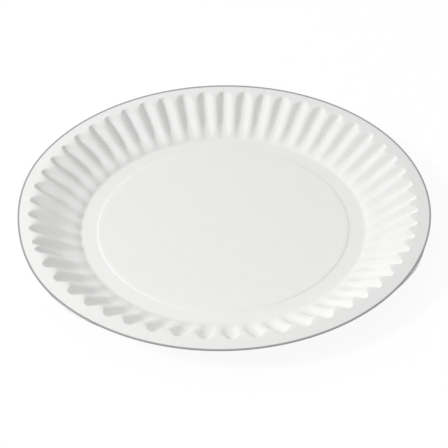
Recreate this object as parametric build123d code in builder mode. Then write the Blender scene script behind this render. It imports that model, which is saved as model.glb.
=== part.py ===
from build123d import *
import os
from math import atan, atan2, cos, degrees, pi, radians, sin, tan

# A round paper plate, pressed from one disc of white board, with a fluted wall and a plain lip.
# Millimetres. The plate rests on z = 0, and its axis is Z.

# Board and overall size
board = 0.5              # thickness of the pressed board
rim_radius = 115.0       # to the cut edge
crest_height = 17.3      # top of the lip above the table

# Widths from the rim inwards
lip_width = 7.2          # from the cut edge to the tips of the grooves
wall_run = 27.8          # from the tips of the grooves to the foot of the wall
foot_band = 9.0          # flat band that the plate stands on, inside the wall

# Lip
lip_flat = 0.8           # level part of the lip outside the tips of the grooves
lip_drop = 1.2           # fall from there to the cut edge

# Flutes
flute_facets = 8         # flats that make up the round of one flute
flute_reach = 4.6        # how much further out a groove meets the lip than the ridge beside it
fade_height = 4.0        # height in which the flutes grow from the foot to their full depth

# Places of some grooves in degrees from +X, as the press left them. Those between are evenly spaced.
groove_places = [
    (0, 0.9), (13, 89.4), (26, 177.5), (29, 197.2), (30, 200.3),
    (31, 207.5), (40, 271.9), (45, 306.6), (54, 360.9),
]
flute_count = groove_places[-1][0]
narrow_groove = 30       # runs into the groove before it, over a low ridge
low_ridge = 0.5          # height of that ridge at the lip, as a share of the others'

# Centre panel
panel_rise = 0.35        # step from the foot band up to the panel
step_run = 0.8           # width of that sloping step

# Derived radii
tip_radius = rim_radius - lip_width
ridge_radius = tip_radius - flute_reach
foot_radius = tip_radius - wall_run
panel_radius = foot_radius - foot_band

# Mean line of the wall, which the ridges and grooves lie inside and outside of
wall_radius = (ridge_radius + tip_radius) / 2
wall_height = crest_height - board
wall_slope = atan2(wall_height, wall_radius - foot_radius)
underside_spread = board * tan(wall_slope / 2)


def wall_scale(level):
    """Radius of the mean wall at a height, as a share of its radius at the lip."""
    radius = foot_radius + (level - board) / wall_height * (wall_radius - foot_radius)
    return radius / wall_radius


def flute_angle(flutes):
    """Angle of a place that is counted in flutes from the first groove."""
    for (before, start), (after, end) in zip(groove_places, groove_places[1:]):
        if flutes <= after:
            return radians(start + (flutes - before) / (after - before) * (end - start))


def fluted_outline(level, ridge, groove, low_share):
    """Level outline of the wall, a wave that swings between the ridges' and the grooves' radius."""
    points = []
    for step in range(flute_count * flute_facets):
        flutes = step / flute_facets
        rise = (1 - cos(2 * pi * flutes)) / 2
        if narrow_groove - 1 < flutes < narrow_groove:
            rise *= low_share
        angle = flute_angle(flutes)
        radius = groove - rise * (groove - ridge)
        points.append((radius * cos(angle), radius * sin(angle)))
    with BuildSketch(Plane.XY.offset(level)) as outline:
        with BuildLine():
            Polyline(*points, close=True)
        make_face()
    return outline.sketch


def well_outlines(drop, spread):
    """Outlines of the plate's well from the foot to the lip, moved down and spread outwards."""
    fade = board + fade_height
    low_fade = low_ridge * fade_height / wall_height
    stations = [
        (board, foot_radius, foot_radius, 1),
        (fade, ridge_radius * wall_scale(fade), tip_radius * wall_scale(fade), low_fade),
        (crest_height, ridge_radius, tip_radius, low_ridge),
    ]
    return [
        fluted_outline(level - drop, ridge + spread, groove + spread, low_share)
        for level, ridge, groove, low_share in stations
    ]


with BuildPart() as plate:
    # Underside of the wall, as a filled form one board below the well
    loft(well_outlines(board, underside_spread), ruled=True)

    # Lip, level at the flutes and falling to the cut edge
    with BuildSketch(Plane.XZ):
        with BuildLine():
            level_top = Line((0, crest_height), (tip_radius + lip_flat, crest_height))
            fall_top = Line(level_top @ 1, (rim_radius, crest_height - lip_drop))
            cut_edge = Line(fall_top @ 1, fall_top @ 1 - (0, board))
            fall_under = Line(level_top @ 1 - (0, board), cut_edge @ 1)
            Polyline(fall_under @ 0, level_top @ 0 - (0, board), level_top @ 0)
        make_face()
    revolve(axis=Axis.Z)

    # The well
    loft(well_outlines(0, 0), ruled=True, mode=Mode.SUBTRACT)

    # Centre panel, raised on top and hollow by the same step underneath
    step_taper = degrees(atan(step_run / panel_rise))
    with BuildSketch(Plane.XY.offset(board)):
        Circle(panel_radius)
    extrude(amount=panel_rise, taper=step_taper)
    with BuildSketch(Plane.XY):
        Circle(panel_radius)
    extrude(amount=panel_rise, taper=step_taper, mode=Mode.SUBTRACT)

plate.part.label = "plate"
os.makedirs("parts", exist_ok=True)
export_step(plate.part, "parts/plate.step")
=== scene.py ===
import math
import random

import bmesh
import bpy
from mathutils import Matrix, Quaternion, Vector


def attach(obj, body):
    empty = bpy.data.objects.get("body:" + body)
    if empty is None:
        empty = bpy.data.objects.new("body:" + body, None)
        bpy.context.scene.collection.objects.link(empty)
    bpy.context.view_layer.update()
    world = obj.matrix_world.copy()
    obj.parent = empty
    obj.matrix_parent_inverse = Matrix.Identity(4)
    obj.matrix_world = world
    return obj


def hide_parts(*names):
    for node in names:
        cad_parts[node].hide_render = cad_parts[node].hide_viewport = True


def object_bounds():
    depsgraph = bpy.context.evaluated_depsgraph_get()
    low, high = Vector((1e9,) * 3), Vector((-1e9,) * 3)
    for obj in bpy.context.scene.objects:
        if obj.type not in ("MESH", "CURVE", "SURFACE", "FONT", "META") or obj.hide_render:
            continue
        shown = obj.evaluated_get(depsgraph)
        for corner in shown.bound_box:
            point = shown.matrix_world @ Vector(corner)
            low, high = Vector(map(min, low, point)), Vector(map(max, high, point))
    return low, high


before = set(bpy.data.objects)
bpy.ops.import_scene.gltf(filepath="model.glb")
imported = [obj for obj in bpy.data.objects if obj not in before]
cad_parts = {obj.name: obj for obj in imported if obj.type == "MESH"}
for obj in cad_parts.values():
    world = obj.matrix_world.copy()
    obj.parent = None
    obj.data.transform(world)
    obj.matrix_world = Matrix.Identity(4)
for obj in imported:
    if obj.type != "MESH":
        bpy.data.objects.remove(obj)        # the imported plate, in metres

# A round paper plate of white board, pressed from one flat disc: a level centre panel, a flat foot band,
# a fluted wall and a plain lip. The blank is spun as a flat disc and then pressed ring by ring.

cad_low, cad_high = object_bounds()
MM = 0.001

# Outer sizes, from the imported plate
rim_radius = (cad_high.x - cad_low.x) / 2
crest_height = cad_high.z

# Board and widths from the rim inwards
board = 0.5 * MM
lip_width = 7.2 * MM          # cut edge to the tips of the grooves
wall_run = 27.8 * MM          # tips of the grooves to the foot of the wall
foot_band = 9.0 * MM          # flat band that the plate stands on
lip_drop = 1.05 * MM          # fall of the lip to the cut edge
lip_curl = 1.2                # power of that fall, more than 1 for a lip that curls down
panel_rise = 0.45 * MM        # step up from the foot band to the panel
step_run = 0.9 * MM           # width of that step
press_offset = Vector((0.08 * MM, -0.35 * MM))      # how far off the blank's centre the press struck

# Flutes
flute_reach = 4.6 * MM        # how much further out a groove meets the lip than the ridge beside it
plain_foot = 0.7 * MM         # height over the base at which the flutes begin
fade_height = 4.7 * MM        # height at which they have their full depth
lip_blend = 0.75              # share of the wall's rise above which all flutes come to the same reach
shallow_flute = 0.72          # depth of the flutes on the near side, as a share of that reach
deep_flute = 1.5              # depth of the flutes on the far side
deep_place = 92               # degrees from +X
deep_spread = 150             # degrees to each side
deep_edge = 0.45              # share of that spread over which the depth changes
flank_share = 0.38            # share of a flute's pitch that each of its two flanks takes
groove_places = [             # numbers of some grooves, and their places in degrees from +X
    (0, 0.6), (3, 20.8), (7, 48.5), (10, 68.8), (12, 82.1), (14, 95.5),
    (16, 109.5), (20, 136.4), (24, 163.3), (26, 177.3), (29, 197.2), (30, 200.3),
    (31, 207.5), (33, 222.1), (36, 242.8), (40, 271.7), (45, 306.6), (54, 360.6),
]
narrow_groove = 30            # runs into the groove before it, over a low ridge
low_ridge = 0.5               # height of that ridge at the lip
tip_pocket = 1.2 * MM         # how much deeper a groove is just below its tip
pocket_start = 0.55           # share of the wall's rise where that begins
groove_wander = 0.1           # degrees that a groove may be out of its place
ridge_wear = 0.08             # share by which a ridge may be lower than its neighbours

# Section of the wall between foot and lip, steep at the foot and hollow above it
wall_hollow = [               # shares of the wall's rise, and how far it lies outside a straight line there
    (0, 0), (0.12, -1.0 * MM), (0.28, 1.9 * MM), (0.5, 1.7 * MM), (0.75, 1.1 * MM), (1, 0),
]
hollow_bend = 0.06            # share of the rise over which that line turns
soft_foot_place = 236         # degrees from +X, where the wall has no steep foot
soft_foot_spread = 44         # degrees to each side
soft_foot_edge = 0.5          # share of that spread over which the foot changes

# Rounding of the pressed corners
foot_bend = 1.4 * MM
groove_bend = 0.6 * MM        # crisp where a groove cuts into the lip
ridge_bend = 2.6 * MM         # soft where a ridge turns over into the lip
crisp_bend = 1.0 * MM         # the same on the right, where the ridges are crisp
crisp_start = 0.25            # the right side, by the cosine of the angle from +X at which that begins
crisp_full = 0.75             # and at which it is complete

# Pleats, the hairline folds that run on from the grooves across the lip
pleat_depth = 0.25 * MM
pleat_fade = 2 * MM           # width outside the tips in which a pleat comes to that depth
clear_pleats = (9, 10, 11, 12, 13, 14, 30)
faint_pleat = 0.35            # most that the other pleats have of that depth

# Dent, where the lip was knocked in on the left
dent_depth = 1.6 * MM
dent_place = 188              # degrees from +X
dent_spread = 32              # degrees to each side
dent_squeeze = 0.3            # share of their reach by which the flutes behind it were pushed deeper

# Bulges, where the lip was pinched outwards beyond the darker line along its cut edge
bulge_reach = 1.1 * MM
bulge_fade = 2.6              # how fast the painted edge shade pales outwards over a bulge, against inwards
bulges = [(227, 10), (330, 9)]        # degrees from +X, and degrees to each side

# Darker line along the cut edge: the grey of the cut fibres, with painted shade of the edge
edge_shade_start = 1.2 * MM       # where it begins
edge_shade_full = 0.7 * MM        # where it is at its darkest
far_edge_shade = 0.45             # share by which the painted edge shade is wider at the far side

# Surface of the board
flock_size = 7 * MM           # clouds in the sheet, where the fibres lie thicker and thinner
grain_size = 0.8 * MM         # fibre grain, drawn coarse enough to show
grain_depth = 0.05 * MM

# Floor
sweep_reach = 2.5             # metres from the plate to its edges
sweep_gap = 0.02 * MM         # below the plate, so that the two don't flicker
sweep_lift = 0.9              # white added for the camera, which leaves room for the shadow

# Light
room_strength = 0.65
back_share = 0.36             # share by which the room is brighter behind the plate, and darker before it
lamp_azimuth = 199            # degrees from +X, so 180 is the left
lamp_elevation = 40           # degrees above the floor
lamp_distance = 1.4           # metres
lamp_size = 0.3               # metres across
lamp_power = 8.9              # watts

# Derived sizes
tip_radius = rim_radius - lip_width
ridge_radius = tip_radius - flute_reach
foot_radius = tip_radius - wall_run
panel_radius = foot_radius - foot_band
wall_radius = (ridge_radius + tip_radius) / 2
wall_height = crest_height - board
wall_slope = math.atan2(wall_height, wall_radius - foot_radius)

# Rings and spokes of the blank
half_phases = (0.025, 0.08, 0.135, 0.19, 0.25, 0.31, 0.365, 0.42)
spoke_phases = (0, *half_phases, 0.5, *(1 - phase for phase in reversed(half_phases)))
panel_rings = (0, 0.25, 0.5, 0.75, 0.9, 0.97)
step_rings = (0, 0.25, 0.5, 0.75, 1)
band_rings = (0.15, 0.5, 0.9)
bend_rings = (0, 0.2, 0.4, 0.6, 0.8, 1)
wall_rings = tuple(ring / 13 for ring in range(1, 13))
lip_rings = (0.2, 0.4, 0.6, 0.8, 0.95)
edge_ring = 0.12 * MM         # last ring before the cut edge, which keeps the edge crisp
spokes = len(spoke_phases) * groove_places[-1][0]

press_chance = random.Random(54)


def ease(share):
    """0 to 1 along a soft S."""
    share = min(max(share, 0), 1)
    return share * share * (3 - 2 * share)


def groove_angles():
    """Angle of each groove in radians, with the first one again at the end."""
    angles = []
    for (before, start), (after, end) in zip(groove_places, groove_places[1:]):
        for groove in range(before, after):
            wander = press_chance.uniform(-groove_wander, groove_wander)
            place = start + (groove - before) / (after - before) * (end - start)
            angles.append(math.radians(place + wander))
    return angles + [angles[0] + 2 * math.pi]


grooves = groove_angles()
ridge_heights = [1 - press_chance.uniform(0, ridge_wear) for _ in grooves[:-1]]
ridge_heights[narrow_groove - 1] = low_ridge
pleats = [press_chance.uniform(0, faint_pleat) for _ in grooves[:-1]]
for groove in clear_pleats:
    pleats[groove] = 1


def degrees_off(angle, place):
    """Degrees between an angle and a place on the plate, the shorter way round."""
    return abs((math.degrees(angle) - place + 180) % 360 - 180)


def ridge_share(flute, phase, rise):
    """0 in a groove and 1 on a full ridge, with the flanks halfway between them."""
    from_groove = min(phase, 1 - phase)
    share = ease((from_groove - 0.25) / flank_share + 0.5) * ridge_heights[flute]
    if flute == narrow_groove - 1:
        share *= ease(rise)
    return share


def dent_share(angle):
    """1 in the middle of the dent and 0 beyond it."""
    return ease(1 - degrees_off(angle, dent_place) / dent_spread)


def bulge_share(angle):
    """1 at the peak of a bulge and 0 beyond it."""
    return max(0, *(1 - degrees_off(angle, place) / spread for place, spread in bulges))


def hollow_at(rise):
    """How far the wall lies outside a straight line, at a share of its rise."""
    for (before, start), (after, end) in zip(wall_hollow, wall_hollow[1:]):
        if rise <= after:
            return start + (rise - before) / (after - before) * (end - start)
    return 0


def smooth_hollow(rise):
    """The same, with its turns rounded."""
    bend = min(hollow_bend, rise, 1 - rise)
    steps = 3                     # to each side
    near = [hollow_at(rise + bend * step / steps) for step in range(-steps, steps + 1)]
    return sum(near) / len(near)


def local_hollow(angle, rise):
    """The same at an angle, without the steep foot where the foot is soft."""
    off = degrees_off(angle, soft_foot_place) / soft_foot_spread
    soft = ease((1 - off) / soft_foot_edge)
    hollow = smooth_hollow(rise)
    return hollow * (1 - soft) if hollow < 0 else hollow


def flute_depth(angle, rise):
    """Depth of a flute as a share of its reach at the lip, none at the foot."""
    off = degrees_off(angle, deep_place) / deep_spread
    depth = shallow_flute + (deep_flute - shallow_flute) * ease((1 - off) / deep_edge)
    depth += dent_squeeze * dent_share(angle)
    depth += (1 - depth) * ease((rise - lip_blend) / (1 - lip_blend))
    fade = (rise * wall_height - plain_foot) / (fade_height - plain_foot)
    return depth * min(max(fade, 0), 1)


def pocket_at(angle, rise):
    """Extra depth of a groove below its tip, pushed flat where the lip is dented."""
    up = max(0, (rise - pocket_start) / (1 - pocket_start))
    peak = 4 / 27                 # of the curve below, two thirds of the way up
    return tip_pocket * up ** 2 * (1 - up) / peak * (1 - dent_share(angle))


def wall_point(flute, phase, rise):
    """Radius and height of the fluted wall at a share of its rise, 0 at the foot and 1 at the lip."""
    line = foot_radius + rise * (wall_radius - foot_radius)
    angle = grooves[flute] + phase * (grooves[flute + 1] - grooves[flute])
    reach = flute_reach * line / wall_radius * flute_depth(angle, rise)
    ridge = ridge_share(flute, phase, rise)
    radius = line + local_hollow(angle, rise) + reach * (0.5 - ridge)
    radius += pocket_at(angle, rise) * (1 - ridge)
    return Vector((radius, board + rise * wall_height))


def lip_point(radius):
    """The lip, level over the flutes and curling down to the cut edge."""
    out = max(0, (radius - wall_radius) / (rim_radius - wall_radius))
    return Vector((radius, crest_height - lip_drop * out ** lip_curl))


def rounded(before, corner, after):
    """Points round a corner, from before to after."""
    return [before.lerp(corner, share).lerp(corner.lerp(after, share), share) for share in bend_rings]


def pressed_line(flute, phase, angle):
    """Radius and height of every ring of the board along one spoke, from the centre out to the rim."""
    rim = rim_radius - dent_depth * dent_share(angle)
    panel_edge = panel_radius - step_run
    foot = Vector((foot_radius, board))
    line = [Vector((panel_edge * share, board + panel_rise)) for share in panel_rings]
    for share in step_rings:
        line.append(Vector((panel_edge + step_run * share, board + panel_rise * (1 - ease(share)))))
    bend_start = foot - Vector((foot_bend, 0))
    line += [line[-1].lerp(bend_start, share) for share in band_rings]

    foot_rise = foot_bend * math.sin(wall_slope) / wall_height
    line += rounded(bend_start, foot, wall_point(flute, phase, foot_rise))

    top_share = ridge_share(flute, phase, 1)
    crisp = ease((math.cos(angle) - crisp_start) / (crisp_full - crisp_start))
    ridge_turn = ridge_bend + (crisp_bend - ridge_bend) * crisp
    shoulder = groove_bend + (ridge_turn - groove_bend) * top_share
    shoulder_rise = 1 - shoulder * math.sin(wall_slope) / wall_height
    for share in wall_rings:
        line.append(wall_point(flute, phase, foot_rise + share * (shoulder_rise - foot_rise)))

    corner = wall_point(flute, phase, 1)
    lip_start = lip_point(corner.x + shoulder)
    line += rounded(wall_point(flute, phase, shoulder_rise), corner, lip_start)
    for share in lip_rings:
        line.append(lip_point(lip_start.x + share * (rim - lip_start.x)))
    line += [lip_point(rim - edge_ring), lip_point(rim + bulge_reach * bulge_share(angle))]
    if phase == 0:
        for point in line:
            on_lip = ease((point.x - tip_radius) / pleat_fade)
            point.y -= pleat_depth * pleats[flute] * on_lip
    return line


def flat_blank(rings):
    """Flat disc of board before it is pressed, with its rings one unit apart."""
    blank = bmesh.new()
    ends = [blank.verts.new((0, 0, 0)), blank.verts.new((rings, 0, 0))]
    radius = blank.edges.new(ends)
    bmesh.ops.subdivide_edges(blank, edges=[radius], cuts=rings - 1)
    bmesh.ops.spin(
        blank, geom=blank.verts[:] + blank.edges[:], cent=(0, 0, 0), axis=(0, 0, 1),
        angle=2 * math.pi, steps=spokes, use_merge=True,
    )
    bmesh.ops.remove_doubles(blank, verts=blank.verts, dist=0.001)
    bmesh.ops.recalc_face_normals(blank, faces=blank.faces)
    blank.faces.ensure_lookup_table()
    if blank.faces[0].normal.z < 0:
        bmesh.ops.reverse_faces(blank, faces=blank.faces)
    return blank


def pressed_plate():
    """The whole plate, pressed from its blank and given the board's thickness."""
    lines = []
    for flute, (start, end) in enumerate(zip(grooves, grooves[1:])):
        for phase in spoke_phases:
            angle = start + phase * (end - start)
            lines.append((angle, pressed_line(flute, phase, angle)))
    blank = flat_blank(len(lines[0][1]) - 1)
    from_edge = blank.verts.layers.float.new("from_edge")
    for vert in blank.verts:
        ring = round(vert.co.xy.length)
        spoke = round(math.atan2(vert.co.y, vert.co.x) / (2 * math.pi) * spokes) % spokes
        angle, line = lines[spoke]
        radius, height = line[ring]
        vert.co = (radius * math.cos(angle), radius * math.sin(angle), height)
        vert.co.xy += press_offset * min(1, (line[-1].x - radius) / lip_width)
        # Distance from the cut edge, for the painted edge shade: shrunk on the far side, so that the
        # painted shade is wider there, and grown fast outside a bulge, so that it pales there
        round_rim = line[-1].x - bulge_reach * bulge_share(angle)
        off_line = max(round_rim - radius, (radius - round_rim) * bulge_fade)
        vert[from_edge] = off_line * (1 - far_edge_shade * max(0, math.sin(angle)))
    for face in blank.faces:
        face.smooth = True
    mesh = bpy.data.meshes.new("pressed_plate")
    blank.to_mesh(mesh)
    blank.free()
    plate = bpy.data.objects.new("pressed_plate", mesh)
    bpy.context.collection.objects.link(plate)
    wall = plate.modifiers.new("board thickness", "SOLIDIFY")
    wall.thickness = board
    wall.offset = -1
    wall.use_even_offset = True
    return plate


def linear(code):
    """sRGB hex to linear RGBA."""
    channels = [int(code[place:place + 2], 16) / 255 for place in (1, 3, 5)]
    return [c / 12.92 if c <= 0.04045 else ((c + 0.055) / 1.055) ** 2.4 for c in channels] + [1]


def add_node(tree, kind, settings, inputs):
    """Adds a node with its settings, and with values or other nodes' outputs at its inputs."""
    node = tree.nodes.new(kind)
    for name, value in settings.items():
        setattr(node, name, value)
    for name, value in inputs.items():
        if isinstance(value, bpy.types.NodeSocket):
            tree.links.new(value, node.inputs[name])
        else:
            node.inputs[name].default_value = value
    return node


def pressed_paperboard():
    """Uncoated bleached board, machine-finished and pressed: a dead matt white with a faint cloudy
    formation and a fibre grain, and a darker line along the cut edge: the grey of the cut fibres, with
    painted shade of the edge."""
    material = bpy.data.materials.new("uncoated_pressed_paperboard")
    material.use_nodes = True
    tree = material.node_tree
    shader = tree.nodes["Principled BSDF"]
    place = add_node(tree, "ShaderNodeTexCoord", {}, {}).outputs["Object"]

    # Cloudy formation of the sheet, in flocks of fibres
    flocks = add_node(
        tree, "ShaderNodeTexNoise", {},
        {"Vector": place, "Scale": 1 / flock_size, "Detail": 3},
    )
    white = add_node(
        tree, "ShaderNodeMix", {"data_type": "RGBA"},
        {0: flocks.outputs["Fac"], 6: linear("#EDEDEC"), 7: linear("#F1F1F0")},
    )

    # Darker line along the cut edge, by the mesh's own distance from that edge: the grey of the cut fibres,
    # with painted shade of the edge
    from_edge = add_node(tree, "ShaderNodeAttribute", {"attribute_name": "from_edge"}, {})
    edge = add_node(
        tree, "ShaderNodeMapRange", {"clamp": True},
        {"Value": from_edge.outputs["Fac"], "From Min": edge_shade_start, "From Max": edge_shade_full},
    )
    colour = add_node(
        tree, "ShaderNodeMix", {"data_type": "RGBA"},
        {0: edge.outputs["Result"], 6: white.outputs[2], 7: linear("#A2A2A1")},
    )

    # Fibre grain. The fibres are 0.03 mm wide, too fine to show, so the grain is drawn coarser.
    fibres = add_node(
        tree, "ShaderNodeTexNoise", {},
        {"Vector": place, "Scale": 1 / grain_size, "Detail": 4},
    )
    grain = add_node(
        tree, "ShaderNodeBump", {},
        {"Height": fibres.outputs["Fac"], "Strength": 0.15, "Distance": grain_depth},
    )
    tree.links.new(colour.outputs[2], shader.inputs["Base Color"])
    tree.links.new(grain.outputs["Normal"], shader.inputs["Normal"])
    shader.inputs["Roughness"].default_value = 0.9
    shader.inputs["Specular IOR Level"].default_value = 0.25
    shader.inputs["IOR"].default_value = 1.5
    return material


def backdrop_rays(tree):
    """1 for the rays that see the backdrop itself, 0 for those that light the plate."""
    path = add_node(tree, "ShaderNodeLightPath", {}, {})
    glossy = add_node(
        tree, "ShaderNodeMath", {"operation": "MAXIMUM"},
        {0: path.outputs["Is Camera Ray"], 1: path.outputs["Is Glossy Ray"]},
    )
    seen = add_node(
        tree, "ShaderNodeMath", {"operation": "MAXIMUM"},
        {0: glossy.outputs[0], 1: path.outputs["Is Transmission Ray"]},
    )
    return seen.outputs[0]


def white_sweep():
    """Matt white sweep under the plate, lifted to white for the camera, with the plate's shadow left."""
    material = bpy.data.materials.new("white_paper_sweep")
    material.use_nodes = True
    tree = material.node_tree
    tree.nodes.clear()
    plain = add_node(tree, "ShaderNodeBsdfDiffuse", {}, {"Color": linear("#E6E6E6")})
    thin = add_node(tree, "ShaderNodeBsdfDiffuse", {}, {"Color": linear("#5E5E5E")})
    lift = add_node(tree, "ShaderNodeEmission", {}, {"Color": (1, 1, 1, 1), "Strength": sweep_lift})
    seen = add_node(tree, "ShaderNodeAddShader", {}, {0: thin.outputs[0], 1: lift.outputs[0]})
    mixed = add_node(
        tree, "ShaderNodeMixShader", {},
        {0: backdrop_rays(tree), 1: plain.outputs[0], 2: seen.outputs[0]},
    )
    add_node(tree, "ShaderNodeOutputMaterial", {}, {"Surface": mixed.outputs[0]})
    shape = bmesh.new()
    bmesh.ops.create_grid(shape, x_segments=1, y_segments=1, size=sweep_reach)
    mesh = bpy.data.meshes.new("white_sweep")
    shape.to_mesh(mesh)
    shape.free()
    mesh.materials.append(material)
    floor = bpy.data.objects.new("white_sweep", mesh)
    floor.location.z = -sweep_gap
    bpy.context.collection.objects.link(floor)
    return floor


def studio_light():
    """Soft white room, brighter behind the plate, with one soft lamp on the left."""
    world = bpy.data.worlds.new("white_room")
    bpy.context.scene.world = world
    world.use_nodes = True
    tree = world.node_tree
    tree.nodes.clear()
    toward_sky = add_node(tree, "ShaderNodeTexCoord", {}, {}).outputs["Generated"]
    axes = add_node(tree, "ShaderNodeSeparateXYZ", {}, {"Vector": toward_sky})
    shade = add_node(
        tree, "ShaderNodeMath", {"operation": "MULTIPLY_ADD"},
        {0: axes.outputs["Y"], 1: room_strength * back_share, 2: room_strength},
    )
    room = add_node(
        tree, "ShaderNodeBackground", {},
        {"Color": (1, 1, 1, 1), "Strength": shade.outputs[0]},
    )
    white = add_node(tree, "ShaderNodeBackground", {}, {"Color": (1, 1, 1, 1), "Strength": 1})
    mixed = add_node(
        tree, "ShaderNodeMixShader", {},
        {0: backdrop_rays(tree), 1: room.outputs[0], 2: white.outputs[0]},
    )
    add_node(tree, "ShaderNodeOutputWorld", {}, {"Surface": mixed.outputs[0]})

    turn = math.radians(lamp_azimuth)
    lift = math.radians(lamp_elevation)
    toward = Vector((math.cos(turn) * math.cos(lift), math.sin(turn) * math.cos(lift), math.sin(lift)))
    lamp = bpy.data.lights.new("left_lamp", "AREA")
    lamp.shape = "DISK"
    lamp.size = lamp_size
    lamp.energy = lamp_power
    holder = bpy.data.objects.new("left_lamp", lamp)
    holder.location = toward * lamp_distance
    holder.rotation_mode = "QUATERNION"
    holder.rotation_quaternion = toward.to_track_quat("Z", "Y")
    bpy.context.collection.objects.link(holder)


def photo_camera():
    """Camera at the photograph's angle. The frame is 448 x 448 pixels."""
    frame_size = 448
    focal_pixels = 1388.1
    distance = 771.8 * MM
    elevation = math.radians(39.25)
    roll = math.radians(1)
    centre_pixel = Vector((222.63, 202.82))      # where the rim's centre is seen
    centre = Vector((0, 0, crest_height - lip_drop))

    back = Vector((0, -math.cos(elevation), math.sin(elevation)))
    level_right = Vector((1, 0, 0))
    level_up = back.cross(level_right)
    right = level_right * math.cos(roll) - level_up * math.sin(roll)
    up = level_up * math.cos(roll) + level_right * math.sin(roll)
    pixel = distance / focal_pixels
    aim = centre + right * (frame_size / 2 - centre_pixel.x) * pixel
    aim -= up * (frame_size / 2 - centre_pixel.y) * pixel

    lens = bpy.data.cameras.new("photo_camera")
    lens.sensor_width = 36
    lens.lens = focal_pixels / frame_size * lens.sensor_width
    lens.clip_start = 0.01
    camera = bpy.data.objects.new("photo_camera", lens)
    camera.location = centre + back * distance
    camera.rotation_mode = "QUATERNION"
    look = (aim - camera.location).to_track_quat("-Z", "Y")
    camera.rotation_quaternion = look @ Quaternion((0, 0, 1), -roll)
    bpy.context.collection.objects.link(camera)
    bpy.context.scene.camera = camera


photo_camera()
studio_light()
white_sweep()

plate = pressed_plate()
plate.data.materials.append(pressed_paperboard())
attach(plate, "root")
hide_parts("plate")

bpy.context.scene.view_settings.view_transform = "Standard"
